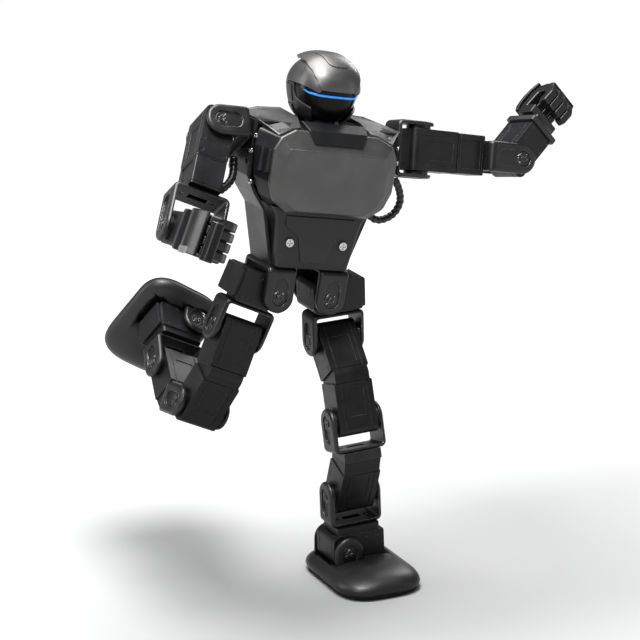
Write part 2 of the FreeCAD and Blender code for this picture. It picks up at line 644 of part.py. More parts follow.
def helmet():
    shell = head_layer(0.0).cut(head_layer(3.0))
    cover = side_band([(-HEAD_REACH, BROW), (-6, BROW), (3.0, 24.0), (6.0, CHIN_TOP), (HEAD_REACH, CHIN_TOP),
                       (HEAD_REACH, 60), (-HEAD_REACH, 60)])
    return shell.common(cover).cut(cheeks(0.2))


def visor():
    shell = head_layer(0.8).cut(head_layer(3.0))
    band = side_band([(-HEAD_REACH, BROW - 0.2), (-6.2, BROW - 0.2), (2.7, 23.8), (5.6, CHIN_TOP + 0.2),
                      (-HEAD_REACH, CHIN_TOP + 0.2)])
    return shell.common(band).cut(cheeks(0.2))


def light_strip():
    shell = head_layer(0.4).cut(head_layer(0.8))
    return shell.common(box(-HEAD_REACH, HEAD_REACH, -HEAD_REACH, -9.0, EYE_LINE - 0.6, EYE_LINE + 0.7))


def jaw_guard():
    shell = head_layer(0.6).cut(head_layer(3.0))
    chin = shell.common(box(-HEAD_REACH, HEAD_REACH, -HEAD_REACH, HEAD_REACH, 0.0, CHIN_TOP - 0.2))
    guards = head_layer(0.1).cut(head_layer(3.0)).common(cheeks(0.0))
    neck = rod(9.0, (0, 0, 0), (0, 0, 4.5))
    disc = rod(HORN_RADIUS, (0, 0, -3.25), (0, 0, 0))
    disc = disc.cut(rod(SHAFT_RADIUS + RUNNING_GAP, (0, 0, -4), (0, 0, -3.5 + SHAFT_LENGTH + 0.2)))
    return [chin.multiFuse([guards, neck]).removeSplitter(), disc]


# ---- the robot ------------------------------------------------------------------------------------------
def torso_placement():
    """Where the torso stands when the left foot is flat on the floor."""
    foot = leg_frames(Placement(), "l")["foot"]
    return move(0, 0, ANKLE_HEIGHT) * foot.inverse()


def build(torso):
    nodes = {}
    head = torso * move(0, NECK_Y, NECK_Z)
    in_torso = {
        "chest_shell": [chest_shell()], "back_shell": [back_shell()], "torso_frame": [torso_frame()],
        "waist_cover": waist_cover(), "waist_insert": [waist_insert()], "waist_screws": waist_screws(),
        "shoulder_covers": shoulder_covers(), "hip_roll_brackets": hip_roll_brackets(),
        "shoulder_servos": shoulder_servos(), "neck_servo": neck_servo(), "battery_pack": [battery_pack()],
        "control_board": [control_board()], "power_button": [power_button()],
        "l_cable": [tube(L_CABLE, CABLE_RADIUS)],
    }
    for name, shapes in in_torso.items():
        nodes[name] = placed(shapes, torso)
    for name, shapes in {"helmet": [helmet()], "visor": [visor()], "light_strip": [light_strip()],
                         "jaw_guard": jaw_guard()}.items():
        nodes[name] = placed(shapes, head)
    nodes["r_cable"] = placed([tube(R_CABLE, CABLE_RADIUS)], arm_frames(torso, "r")["shoulder"])
    for name in SIDES:
        add_arm(nodes, torso, name)
        add_leg(nodes, torso, name)
    return nodes


def solids_of(shapes):
    return [solid for shape in shapes for solid in shape.Solids]


TORSO = torso_placement()
NODES = {name: Part.makeCompound(solids_of(shapes)) for name, shapes in build(TORSO).items()}
WHOLE = Part.makeCompound(list(NODES.values())).optimalBoundingBox(False, False)
CENTRE = move(-(WHOLE.XMin + WHOLE.XMax) / 2, -(WHOLE.YMin + WHOLE.YMax) / 2, -WHOLE.ZMin)

os.makedirs("parts", exist_ok=True)
for name, shape in NODES.items():
    shape.Placement = CENTRE * shape.Placement
    shape.exportStep(f"parts/{name}.step")
print(len(NODES), "nodes", WHOLE.XLength, WHOLE.YLength, WHOLE.ZLength)
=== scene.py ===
import json
import math
import bmesh
import bpy
from mathutils import Matrix, Vector

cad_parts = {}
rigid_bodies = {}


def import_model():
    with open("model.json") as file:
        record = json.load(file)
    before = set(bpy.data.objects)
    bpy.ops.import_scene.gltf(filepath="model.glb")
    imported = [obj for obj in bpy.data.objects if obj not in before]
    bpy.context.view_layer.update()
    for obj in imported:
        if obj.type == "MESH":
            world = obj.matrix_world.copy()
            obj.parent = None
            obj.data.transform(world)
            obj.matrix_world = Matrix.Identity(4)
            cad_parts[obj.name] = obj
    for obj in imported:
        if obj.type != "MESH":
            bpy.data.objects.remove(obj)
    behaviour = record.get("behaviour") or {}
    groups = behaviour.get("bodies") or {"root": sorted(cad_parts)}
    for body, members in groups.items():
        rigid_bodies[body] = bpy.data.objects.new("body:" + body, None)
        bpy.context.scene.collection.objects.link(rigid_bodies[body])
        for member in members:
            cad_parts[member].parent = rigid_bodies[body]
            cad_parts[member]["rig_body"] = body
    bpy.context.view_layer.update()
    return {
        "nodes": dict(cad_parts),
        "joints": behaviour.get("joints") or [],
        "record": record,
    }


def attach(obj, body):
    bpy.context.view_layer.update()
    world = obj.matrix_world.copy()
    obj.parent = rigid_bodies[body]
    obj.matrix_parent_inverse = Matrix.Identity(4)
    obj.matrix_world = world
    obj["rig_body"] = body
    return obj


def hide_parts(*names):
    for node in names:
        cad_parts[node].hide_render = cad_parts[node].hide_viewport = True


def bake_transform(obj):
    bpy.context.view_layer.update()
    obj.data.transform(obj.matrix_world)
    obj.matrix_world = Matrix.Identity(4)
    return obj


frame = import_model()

# Looks of the humanoid robot. Shapes are written in millimetres in the frame of their own joint, and the
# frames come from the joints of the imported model.

MM = 0.001
SIDES = {"l": 1, "r": -1}
ARM_TURN = {"l": -50.0, "r": 64.0}        # degrees at each elbow in the standing pose
FOOT_TURN = {"l": 2.7, "r": -9.5}         # degrees at each ankle roll joint
SHIN_WEDGE, SHIN_GAP, BRACKET_BASE = 36.0, 11.0, 20.0
SERVO_FAR, SERVO_HALF_WIDTH = 25.5, 10.25
WRIST = 25.5                              # elbow axis to the wrist plate


# ---- frames ---------------------------------------------------------------------------------------------
JOINTS = {j["name"]: j for j in frame["joints"]}


def joint_point(name):
    return Vector(JOINTS[name]["pos_m"])


def joint_axis(name):
    return Vector(JOINTS[name]["axis"]).normalized()


def frame_from(origin, x, y):
    """A frame at a point from its X and Y directions."""
    x = x.normalized()
    z = x.cross(y).normalized()
    y = z.cross(x)
    m = Matrix((x, y, z)).transposed().to_4x4()
    m.translation = origin
    return m


def turned(m, axis, degrees):
    return m @ Matrix.Rotation(math.radians(degrees), 4, axis)


def shifted(m, x, y, z):
    return m @ Matrix.Translation(Vector((x, y, z)) * MM)


HIPS = (joint_point("l_hip_roll"), joint_point("r_hip_roll"))
TORSO = frame_from((HIPS[0] + HIPS[1]) / 2, HIPS[0] - HIPS[1], -joint_axis("l_hip_roll"))
HEAD = TORSO.copy()
HEAD.translation = joint_point("neck_yaw")


def forearm_frame(name):
    """At the wrist, Z along the forearm."""
    side = SIDES[name]
    y = joint_axis(f"{name}_elbow") * -side
    z = joint_axis(f"{name}_shoulder_roll") * side
    arm = frame_from(joint_point(f"{name}_elbow"), y.cross(z), y)
    return shifted(turned(turned(arm, "Y", ARM_TURN[name]), "Y", 90 * side), 0, 0, WRIST)


def foot_frame(name):
    side = SIDES[name]
    x, y = joint_axis(f"{name}_ankle_pitch"), joint_axis(f"{name}_ankle_roll") * side
    return turned(frame_from(joint_point(f"{name}_ankle_roll"), x, y), "Y", FOOT_TURN[name])


def shin_frame(name):
    """At the knee axis, Z towards the thigh. The ankle's pivot lies past the slanted band."""
    x = joint_axis(f"{name}_knee")
    reach = joint_point(f"{name}_ankle_pitch") - joint_point(f"{name}_knee")
    upper, lower = BRACKET_BASE + SHIN_GAP / 2, SERVO_FAR + SHIN_GAP / 2
    wedge = math.radians(SHIN_WEDGE)
    bend = math.atan2(lower * math.sin(wedge), upper + lower * math.cos(wedge))
    down = Matrix.Rotation(-bend, 3, x) @ reach.normalized()
    return frame_from(joint_point(f"{name}_knee"), x, (-down).cross(x))


# ---- materials ------------------------------------------------------------------------------------------
class Nodes:
    """Short names for building one material's nodes."""

    def __init__(self, name):
        self.material = bpy.data.materials.new(name)
        self.material.use_nodes = True
        self.tree = self.material.node_tree
        self.shader = self.tree.nodes["Principled BSDF"]
        self.coordinates = self.add("ShaderNodeTexCoord").outputs["Object"]

    def add(self, kind, **inputs):
        node = self.tree.nodes.new(kind)
        for key, value in inputs.items():
            self.put(node, key.replace("_", " "), value)
        return node

    def put(self, node, key, value):
        socket = node.inputs[int(key) if key.isdigit() else key]
        if isinstance(value, bpy.types.NodeSocket):
            self.tree.links.new(value, socket)
        else:
            socket.default_value = value

    def noise(self, scale, detail=2.0, stretch=None):
        coordinates = self.coordinates
        if stretch:
            mapping = self.add("ShaderNodeMapping", Vector=coordinates, Scale=stretch)
            coordinates = mapping.outputs["Vector"]
        return self.add("ShaderNodeTexNoise", Vector=coordinates, Scale=scale, Detail=detail).outputs["Fac"]

    def ramp(self, value, low, high, start=0.3, end=0.7):
        node = self.add("ShaderNodeMapRange", Value=value)
        for key, number in (("From Min", start), ("From Max", end), ("To Min", low), ("To Max", high)):
            node.inputs[key].default_value = number
        return node.outputs["Result"]

    def math(self, operation, a, b=0.0):
        node = self.add("ShaderNodeMath")
        node.operation = operation
        self.put(node, "0", a)
        self.put(node, "1", b)
        return node.outputs[0]

    def mix(self, factor, a, b):
        node = self.add("ShaderNodeMix")
        node.data_type = "RGBA"
        for socket, value in ((node.inputs[0], factor), (node.inputs[6], a), (node.inputs[7], b)):
            if isinstance(value, bpy.types.NodeSocket):
                self.tree.links.new(value, socket)
            else:
                socket.default_value = value if isinstance(value, float) else (*value, 1.0)
        return node.outputs[2]

    def edges(self, radius):
        """1 near the edges of the piece, 0 on its faces, and the normal of the softened edge."""
        bevel = self.add("ShaderNodeBevel", Radius=radius)
        bevel.samples = 4
        normal = self.add("ShaderNodeNewGeometry").outputs["Normal"]
        dot = self.add("ShaderNodeVectorMath")
        dot.operation = "DOT_PRODUCT"
        self.tree.links.new(bevel.outputs[0], dot.inputs[0])
        self.tree.links.new(normal, dot.inputs[1])
        return self.ramp(dot.outputs["Value"], 1.0, 0.0, 0.80, 0.985), bevel.outputs[0]


def scaled(colour, factor):
    return tuple(c * factor for c in colour)


def moulded(name, colour, roughness, metallic=0.0, specular=0.5, grain=1800.0, depth=0.00004, blotch=0.12,
            edge=0.0003, edge_rub_highlight_strength=0.35, rub_highlight_colour=None, coat=0.0, streaks=None):
    """A moulded, painted or anodised surface: fine grain, uneven gloss, and lighter edges: real rubbing plus a
    painted edge highlight.
    """
    n = Nodes(name)
    cloud = n.noise(70.0, 4.0)
    fine = n.noise(grain, 3.0, streaks)
    mask, soft_normal = n.edges(edge)
    scuff_and_glint_noise = n.ramp(n.noise(420.0, 5.0), 0.15, 1.0, 0.42, 0.66)
    # Lighter edges: real rubbing in patches, plus a painted highlight that runs along every edge.
    edge_rub_and_highlight = n.math("MULTIPLY", n.math("MULTIPLY", mask, scuff_and_glint_noise), edge_rub_highlight_strength)
    tone = n.mix(n.ramp(cloud, 0.0, 1.0), scaled(colour, 1 - blotch), scaled(colour, 1 + blotch))
    n.put(n.shader, "Base Color", n.mix(edge_rub_and_highlight, tone, rub_highlight_colour or scaled(colour, 3.5)))
    gloss = n.math("ADD", n.ramp(cloud, roughness - 0.05, roughness + 0.06), n.math("MULTIPLY", fine, 0.05))
    n.put(n.shader, "Roughness", n.math("SUBTRACT", gloss, n.math("MULTIPLY", edge_rub_and_highlight, 0.12)))
    n.shader.inputs["Metallic"].default_value = metallic
    n.shader.inputs["Specular IOR Level"].default_value = specular
    n.shader.inputs["Coat Weight"].default_value = coat
    n.shader.inputs["Coat Roughness"].default_value = 0.12
    bump = n.add("ShaderNodeBump", Height=fine, Distance=depth, Normal=soft_normal)
    bump.inputs["Strength"].default_value = 0.6
    n.put(n.shader, "Normal", bump.outputs[0])
    return n.material


def lit_strip(name, colour, strength):
    """A lit lens whose colour and brightness vary faintly with a fine noise."""
    n = Nodes(name)
    cells = n.ramp(n.noise(900.0, 1.0), 0.75, 1.0)
    n.put(n.shader, "Base Color", n.mix(cells, scaled(colour, 0.4), colour))
    n.shader.inputs["Emission Color"].default_value = (*colour, 1.0)
    n.put(n.shader, "Emission Strength", n.math("MULTIPLY", cells, strength))
    n.shader.inputs["Roughness"].default_value = 0.2
    return n.material


# The edge colour and strength in each finish paint both rubbing and an edge highlight.
FINISHES = {
    "gunmetal": moulded("gunmetal_paint", (0.088, 0.086, 0.085), 0.36, metallic=0.85, grain=2600.0,
                        depth=0.00002, edge_rub_highlight_strength=0.35, rub_highlight_colour=(0.4, 0.4, 0.41), edge=0.0005),
    # A darker copy of the gunmetal paint: painted shade for pieces that the top light leaves dark.
    "painted_shade_gunmetal": moulded("painted_shade_gunmetal_paint", (0.023, 0.0225, 0.0225), 0.36, metallic=0.6, grain=2600.0,
                          depth=0.00002, edge_rub_highlight_strength=0.35, rub_highlight_colour=(0.3, 0.3, 0.31), edge=0.0005),
    "gloss_black": moulded("gloss_black_plastic", (0.0045, 0.0045, 0.005), 0.3, specular=0.35, grain=1200.0,
                           depth=0.00002, edge_rub_highlight_strength=0.25, rub_highlight_colour=(0.05, 0.05, 0.052), edge=0.0004, coat=0.1),
    "pale_grey": moulded("pale_grey_paint", (0.21, 0.21, 0.215), 0.42, metallic=0.6, grain=2400.0,
                         depth=0.00002, edge_rub_highlight_strength=0.4, rub_highlight_colour=(0.5, 0.5, 0.5), edge=0.0004),
    "bracket_grey": moulded("bracket_anodised", (0.036, 0.0355, 0.035), 0.34, metallic=0.85, grain=3000.0,
                            depth=0.00002, edge_rub_highlight_strength=0.7, rub_highlight_colour=(0.42, 0.42, 0.42), edge=0.0006),
    "servo_black": moulded("servo_plastic", (0.0042, 0.0042, 0.0048), 0.36, specular=0.28, grain=1500.0,
                           depth=0.00005, edge_rub_highlight_strength=0.6, rub_highlight_colour=(0.11, 0.11, 0.115), edge=0.0004, blotch=0.3),
    "charcoal": moulded("charcoal_plastic", (0.012, 0.012, 0.013), 0.4, specular=0.35, grain=1700.0,
                        depth=0.00004, edge_rub_highlight_strength=0.5, rub_highlight_colour=(0.12, 0.12, 0.125), edge=0.0004, blotch=0.2),
    "visor_black": moulded("visor_polish", (0.0012, 0.0012, 0.0014), 0.2, specular=0.15, grain=900.0,
                           depth=0.000004, edge_rub_highlight_strength=0.0, edge=0.0003),
    "light_blue": lit_strip("visor_light", (0.01, 0.16, 0.62), 1.25),
    "bright_screw": moulded("bright_steel", (0.5, 0.5, 0.51), 0.22, metallic=1.0, grain=1200.0,
                            depth=0.00002, edge_rub_highlight_strength=0.2, rub_highlight_colour=(0.9, 0.9, 0.9), streaks=(1.0, 1.0, 12.0)),
    "sole_rubber": moulded("sole_rubber", (0.006, 0.006, 0.006), 0.6, specular=0.3, grain=1100.0,
                           depth=0.00012, edge_rub_highlight_strength=0.3, rub_highlight_colour=(0.05, 0.05, 0.05)),
    "cable_black": moulded("cable_wrap", (0.006, 0.006, 0.007), 0.34, specular=0.5, grain=1300.0,
                           depth=0.00004, edge_rub_highlight_strength=0.3, rub_highlight_colour=(0.06, 0.06, 0.06), edge=0.0002),
    "battery_wrap": moulded("battery_sleeve", (0.012, 0.03, 0.09), 0.3, specular=0.5, grain=800.0,
                            depth=0.00006),
    "circuit_board": moulded("solder_mask", (0.004, 0.045, 0.028), 0.35, specular=0.5, grain=2000.0,
                             depth=0.00004),
}


# ---- mesh pieces ----------------------------------------------------------------------------------------
def piece(name, place, points, faces, body, slot, replaces=(), bevel=0.0, segments=3, thickness=0.0, angle=30,
          finish=None):
    """A named piece from points in millimetres in the frame `place`, riding on a body."""
    mesh = bpy.data.meshes.new(name)
    mesh.from_pydata([place @ (Vector(p) * MM) for p in points], [], faces)
    work = bmesh.new()
    work.from_mesh(mesh)
    bmesh.ops.remove_doubles(work, verts=work.verts, dist=0.00001)
    bmesh.ops.recalc_face_normals(work, faces=work.faces)
    work.to_mesh(mesh)
    work.free()
    mesh.materials.append(FINISHES[finish or slot])
    for polygon in mesh.polygons:
        polygon.use_smooth = True
    thing = bpy.data.objects.new(name, mesh)
    bpy.context.scene.collection.objects.link(thing)
    if thickness:
        solid = thing.modifiers.new("thickness", "SOLIDIFY")
        solid.thickness, solid.offset = abs(thickness) * MM, -1.0
    if bevel:
        cut = thing.modifiers.new("bevel", "BEVEL")
        cut.width, cut.segments, cut.limit_method = bevel * MM, segments, "ANGLE"
        cut.angle_limit = math.radians(angle)
        cut.harden_normals = True
    else:
        mesh.set_sharp_from_angle(angle=math.radians(angle))
    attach(thing, body)
    if replaces:
        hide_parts(*replaces)
    return thing


def rings_to_faces(count, rings, cap_start=True, cap_end=True):
    """Quads between successive rings of equal length, with n-gon caps."""
    faces = []
    for ring in range(rings - 1):
        for i in range(count):
            j = (i + 1) % count
            faces.append((ring * count + i, ring * count + j, (ring + 1) * count + j, (ring + 1) * count + i))
    if cap_start:
        faces.append(tuple(reversed(range(count))))
    if cap_end:
        faces.append(tuple((rings - 1) * count + i for i in range(count)))
    return faces


def grid_faces(rows, columns):
    return [(r * columns + c, r * columns + c + 1, (r + 1) * columns + c + 1, (r + 1) * columns + c)
            for r in range(rows - 1) for c in range(columns - 1)]


def rounded_outline(corners, steps=6):
    """Points of a polygon whose corners (a, b, radius) are rounded by arcs."""
    points = []
    for index, (a, b, radius) in enumerate(corners):
        here = Vector((a, b))
        before = Vector(corners[index - 1][:2]) - here
        after = Vector(corners[(index + 1) % len(corners)][:2]) - here
        half = before.angle(after) / 2
        setback = min(radius / math.tan(half), 0.48 * before.length, 0.48 * after.length)
        start, end = here + before.normalized() * setback, here + after.normalized() * setback
        for step in range(steps + 1):
            t = step / steps
            points.append(start * (1 - t) ** 2 + here * (2 * t * (1 - t)) + end * t ** 2)
    return points


def mirrored(right_half):
    return list(right_half) + [(-a, *rest) for a, *rest in reversed(right_half)]


def prism(name, place, outline, axis, low, high, body, slot, **options):
    """An outline of two coordinates, extruded along the third axis."""
    place_of_third = "xyz".index(axis)
    points = []
    for level in (low, high):
        for p in outline:
            point = [p[0], p[1]]
            point.insert(place_of_third, level)
            points.append(tuple(point))
    return piece(name, place, points, rings_to_faces(len(outline), 2), body, slot, **options)


# ---- head -----------------------------------------------------------------------------------------------
HEAD_MIDDLE = Vector((0, 1.5, 24.0))
HEAD_SEMI = Vector((22.0, 25.2, 22.0))
HEAD_RISE = 20.3          # from the middle to the top of the helmet
LEVEL_POWER, UPPER_POWER, LOWER_POWER = 2.4, 2.1, 4.5
CHIN_NARROWING, CHIN_RETREAT = 0.27, 0.2
# Elevation of the helmet's lower edge, and half the crest's spread, by the angle from the face.
SIDE_EDGE = [(0, 3.0), (29, 3.0), (33, -4.0), (42, -1.0), (54, 2.5), (70, 5.0), (104, 5.0), (118, -30.0),
             (180, -38.0)]
CREST_SPREAD = [(0, 31), (16, 37), (35, 42), (60, 46), (94, 44), (123, 35)]


def head_point(direction, layer):
    """A point on the head's surface in a direction from its middle, raised by a layer."""
    power = UPPER_POWER if direction.z > 0 else LOWER_POWER
    level = abs(direction.x) ** LEVEL_POWER + abs(direction.y) ** LEVEL_POWER
    q = direction / (level ** (power / LEVEL_POWER) + abs(direction.z) ** power) ** (1 / power)
    low = max(0.0, -q.z) ** 1.3
    height = HEAD_RISE if direction.z > 0 else HEAD_SEMI.z
    narrow, back = 1 - CHIN_NARROWING * low, 1 - CHIN_RETREAT * low
    flat = Vector((HEAD_SEMI.x * q.x * narrow, HEAD_SEMI.y * q.y * back, height * q.z))
    return HEAD_MIDDLE + flat * (1 + layer / 23.0)


def compass(azimuth, elevation):
    a, e = math.radians(azimuth), math.radians(elevation)
    return Vector((math.sin(a) * math.cos(e), -math.cos(a) * math.cos(e), math.sin(e)))


def over_the_top(spread, over):
    """A direction that leans sideways by `spread` from the arc going from the face over the top."""
    t, o = math.radians(spread), math.radians(over)
    return Vector((math.sin(t), -math.cos(t) * math.cos(o), math.cos(t) * math.sin(o)))


def along(table, value, smooth=True):
    """The value between the rows of a short table."""
    for (a, u), (b, v) in zip(table, table[1:]):
        if value <= b:
            t = (value - a) / (b - a)
            return u + (v - u) * (t * t * (3 - 2 * t) if smooth else t)
    return table[-1][1]


def head_patch(name, columns, rows, direction, layer, slot, thickness=1.4, **options):
    """A curved plate over the head: direction(u, v) and layer(u, v) for u and v from 0 to 1."""
    points = []
    for r in range(rows):
        for c in range(columns):
            u, v = c / (columns - 1), r / (rows - 1)
            points.append(head_point(direction(u, v), layer(u, v) if callable(layer) else layer))
    return piece(name, HEAD, points, grid_faces(rows, columns), "head", slot, thickness=thickness, **options)


def side_edge(azimuth):
    return along(SIDE_EDGE, abs(azimuth), smooth=False)


def build_head():
    def shell(u, v):
        azimuth = -180 + 360 * u
        low = side_edge(azimuth)
        return compass(azimuth, low + (89.9 - low) * v)

    head_patch("helmet_shell", 145, 36, shell, 0.0, "gunmetal", replaces=["helmet"], bevel=0.25, angle=50)

    def crest(u, v):
        over = 1.5 + 121.5 * v
        return over_the_top((2 * u - 1) * along(CREST_SPREAD, over), over)

    head_patch("helmet_crest", 33, 64, crest, lambda u, v: 1.2 + 2.4 * v ** 2.2, "gunmetal", bevel=0.3,
               angle=50, thickness=2.6)

    def inlay(u, v):
        over = 44 + 44 * v
        corner = math.sqrt(max(0.0, 1 - (1 - min(1.0, v / 0.2)) ** 2))
        return over_the_top((2 * u - 1) * (12 * corner + 4 + 7 * v), over)

    head_patch("helmet_inlay", 21, 30, inlay, lambda u, v: 1.75 + 2.4 * ((42.5 + 44 * v) / 121.5) ** 2.2,
               "gunmetal", bevel=0.25, angle=50)

    def glass(u, v):
        azimuth = -86 + 172 * u
        return compass(azimuth, -62 + (side_edge(azimuth) + 65) * v)

    head_patch("visor_glass", 81, 26, glass, -1.3, "visor_black", replaces=["visor"], bevel=0.25, angle=50)

    def strip(u, v):
        azimuth = -61 + 122 * u
        taper = 0.35 + 0.65 * min(1.0, (61 - abs(azimuth)) / 14)
        return compass(azimuth, along([(0, -8.0), (30, -8.0), (50, -6.5), (62, -3.5)], abs(azimuth))
                       + 3.2 * taper * (v - 0.5))

    head_patch("visor_strip", 81, 5, strip, -0.95, "light_blue", replaces=["light_strip"])
    for side in (-1, 1):
        def guard(u, v):
            elevation = -50 + 54 * v
            front = along([(-60, 46), (-28, 46), (-20, 80), (-12, 84), (4, 86)], elevation, smooth=False)
            return compass(side * (front + (128 - front) * u), elevation)

        label = "left" if side > 0 else "right"
        stands_for = ["jaw_guard"] if side > 0 else []
        head_patch(f"jaw_guard_{label}", 21, 33, guard, -0.35, "charcoal", replaces=stands_for, bevel=0.3,
                   angle=50)

        def ear(u, v):
            elevation = -26 + 26 * v
            return compass(side * (90 + 22 * u), elevation)

        head_patch(f"ear_plate_{label}", 9, 9, ear, 0.35, "servo_black", bevel=0.3, angle=50)

    def nape(u, v):
        return compass(96 + 168 * u, -50 + 20 * v)

    head_patch("nape_plate", 31, 12, nape, -1.0, "charcoal")

    def chin(u, v):
        return compass(-180 + 360 * u, -89.5 + 34 * v)

    head_patch("chin_cap", 73, 14, chin, -1.6, "charcoal")
    rings = [(9.0, -3.0), (9.0, -0.6), (8.2, -0.2), (8.2, 0.6), (9.0, 1.0), (9.0, 2.4), (8.0, 2.8),
             (8.0, 6.0)]
    points = [(r * math.cos(k * math.pi / 24), r * math.sin(k * math.pi / 24), z) for r, z in rings
              for k in range(48)]
    piece("neck_post", HEAD, points, rings_to_faces(48, len(rings)), "head", "charcoal")


# ---- torso ----------------------------------------------------------------------------------------------
# Right halves of the chest's outlines, from the top down: across, height, corner radius.
CHEST_FACE = [(28.0, 97.8, 0.5), (33.8, 97.8, 1.5), (36.5, 88.0, 6), (36.5, 74.0, 8), (32.0, 64.5, 8),
              (24.0, 59.0, 6)]
CHEST_RIM = [(28.7, 108.7, 0.8), (39.0, 103.8, 2), (43.0, 96.0, 4), (43.0, 75.0, 8), (38.5, 64.0, 8),
             (28.5, 57.2, 5)]
FRAME_RIM = [(34.0, 111.5, 2), (49.0, 106.5, 3), (50.0, 96.0, 4), (48.0, 77.0, 6), (42.8, 66.0, 6),
             (33.0, 56.5, 4)]


def chest_ring(half, y, inset=0.0, lean=0.0):
    """A closed outline at depth y, drawn in by `inset`, whose top leans back by `lean`."""
    points = []
    for p in rounded_outline(mirrored(half), 7):
        pull = 1 - inset / 36.0
        x, z = p.x * pull, 79.0 + (p.y - 79.0) * pull
        points.append((x, y + lean * max(0.0, (z - 103.0) / 5.7), z))
    return points


def build_chest():
    rings = [chest_ring(CHEST_FACE, -33.9, 20.0), chest_ring(CHEST_FACE, -34.3, 8.0),
             chest_ring(CHEST_FACE, -34.2, 1.4), chest_ring(CHEST_FACE, -33.95, 0.6),
             chest_ring(CHEST_FACE, -33.5, 0.0), chest_ring(CHEST_RIM, -30.7, 0.3, 3.4),
             chest_ring(CHEST_RIM, -30.2, 0.0, 3.4), chest_ring(CHEST_RIM, -28.6, 0.0, 3.4),
             chest_ring(CHEST_RIM, -28.4, 1.0, 3.4)]
    count = len(rings[0])
    points = [p for r in rings for p in r]
    piece("chest_plate", TORSO, points, rings_to_faces(count, len(rings), cap_end=False), "torso", "gunmetal",
          replaces=["chest_shell"], angle=20)
    rings = [chest_ring(CHEST_RIM, -29.4, 1.2, 3.4), chest_ring(FRAME_RIM, -17.0),
             chest_ring(FRAME_RIM, -15.2, 0.2)]
    points = [p for r in rings for p in r]
    faces = rings_to_faces(count, len(rings), cap_start=False, cap_end=False)
    piece("chest_flank", TORSO, points, faces, "torso", "servo_black", angle=20)
    recess = [(22.5, -20.0, 113.4), (20.0, -28.4, 109.2), (16.6, -32.2, 101.8)]
    for index, ((a, y, z), (b, v, w)) in enumerate(zip(recess, recess[1:])):
        corners = [(a, y, z), (b, v, w), (-b, v, w), (-a, y, z)]
        points = [(p, q - 0.35, r + 0.35) for p, q, r in corners]
        points += [(p, q + 3.0, r - 1.0) for p, q, r in corners]
        piece(f"neck_recess_{index + 1}", TORSO, points, rings_to_faces(4, 2), "torso", "servo_black",
              bevel=0.3, finish="gloss_black")
    for side in (-1, 1):
        label = "left" if side > 0 else "right"
        top = [(side * 22.0, 14.6, 116.6), (side * 38.0, 14.6, 116.0), (side * 50.5, 14.6, 112.4),
               (side * 50.5, -14.0, 112.4), (side * 39.6, -27.4, 105.0), (side * 31.0, -26.0, 109.6),
               (side * 24.5, -24.5, 110.6), (side * 22.0, -12.0, 115.4)]
        points = top + [(x * 0.985, y * 0.98, z - 2.4) for x, y, z in top]
        stands_for = ["shoulder_covers"] if side > 0 else []
        piece(f"collar_{label}", TORSO, points, rings_to_faces(8, 2), "torso", "pale_grey", bevel=0.6,
              replaces=stands_for, finish="gunmetal")
        for index, low in enumerate((-27.6, -22.6)):
            board = [(42.6 + 2.9 * index, 95.5), (42.9 + 2.9 * index, 81.0), (44.6 + 2.9 * index, 81.0),
                     (44.2 + 2.9 * index, 95.5)]
            outline = [(side * x, z) for x, z in board]
            prism(f"side_board_{label}_{index + 1}", TORSO, outline, "y", low, low + 3.6, "torso",
                  "circuit_board", bevel=0.2, finish="charcoal")
    for side in (-1, 1):
        label = "left" if side > 0 else "right"
        for index, (x, y, z) in enumerate([(46.5, -16.6, 101.5), (48.0, -16.2, 92.0), (45.5, -16.4, 72.5)]):
            stud(f"flank_screw_{label}_{index + 1}", TORSO, Vector((side * (x + 3.4), y + 0.6, z)),
                 Vector((side * 0.8, -0.6, 0)), 1.5, 0.9, "torso")


def stud(name, place, centre, direction, radius, height, body, slot="bright_screw"):
    """A small domed screw head."""
    z = direction.normalized()
    x = z.orthogonal().normalized()
    y = z.cross(x)
    rings = [(1.0, 0.0), (1.0, 0.55), (0.82, 0.9), (0.45, 1.0), (0.42, 0.45)]
    points = [centre + (x * math.cos(k * math.pi / 8) + y * math.sin(k * math.pi / 8)) * (radius * r)
              + z * (height * h) for r, h in rings for k in range(16)]
    return piece(name, place, points, rings_to_faces(16, len(rings)), body, slot)


# Height, half width and half depth of the waist.
WAIST_LEVELS = [(20.3, 24.6, 20.8), (21.2, 25.5, 21.5), (30.0, 27.0, 21.6), (42.0, 28.6, 21.8),
                (50.0, 29.8, 22.4), (55.0, 31.6, 23.4), (59.5, 35.0, 25.0)]


def build_waist():
    """The cover around the lower torso, flaring towards the chest."""
    points = []
    for z, half, depth in WAIST_LEVELS:
        corners = [(half, depth, 7), (-half, depth, 7), (-half, -depth, 3), (half, -depth, 3)]
        points += [(p.x, p.y, z) for p in rounded_outline(corners, 8)]
    # The waist takes the darker copy of the gunmetal paint: painted shade.
    piece("waist_body", TORSO, points, rings_to_faces(36, len(WAIST_LEVELS)), "torso", "gunmetal",
          replaces=["waist_cover"], angle=40, finish="painted_shade_gunmetal")
    outline = mirrored([(24.2, 54.5), (23.6, 47.5), (13.4, 40.5), (9.2, 24.6)])
    points = [(x, y - 0.12 * max(0.0, z - 44.0), z) for y in (-22.7, -20.8) for x, z in outline]
    piece("waist_shield", TORSO, points, rings_to_faces(8, 2), "torso", "charcoal", replaces=["waist_insert"],
          bevel=0.5)
    for side in (-1, 1):
        label = "left" if side > 0 else "right"
        centre = Vector((side * 18.8, 36.8))
        rim = [(centre.x + r * math.cos(k * math.pi / 16), y, centre.y + r * math.sin(k * math.pi / 16))
               for r, y in ((3.9, -21.4), (3.9, -21.9), (3.3, -22.1), (3.0, -21.6)) for k in range(32)]
        piece(f"screw_cup_{label}", TORSO, rim, rings_to_faces(32, 4), "torso", "charcoal")


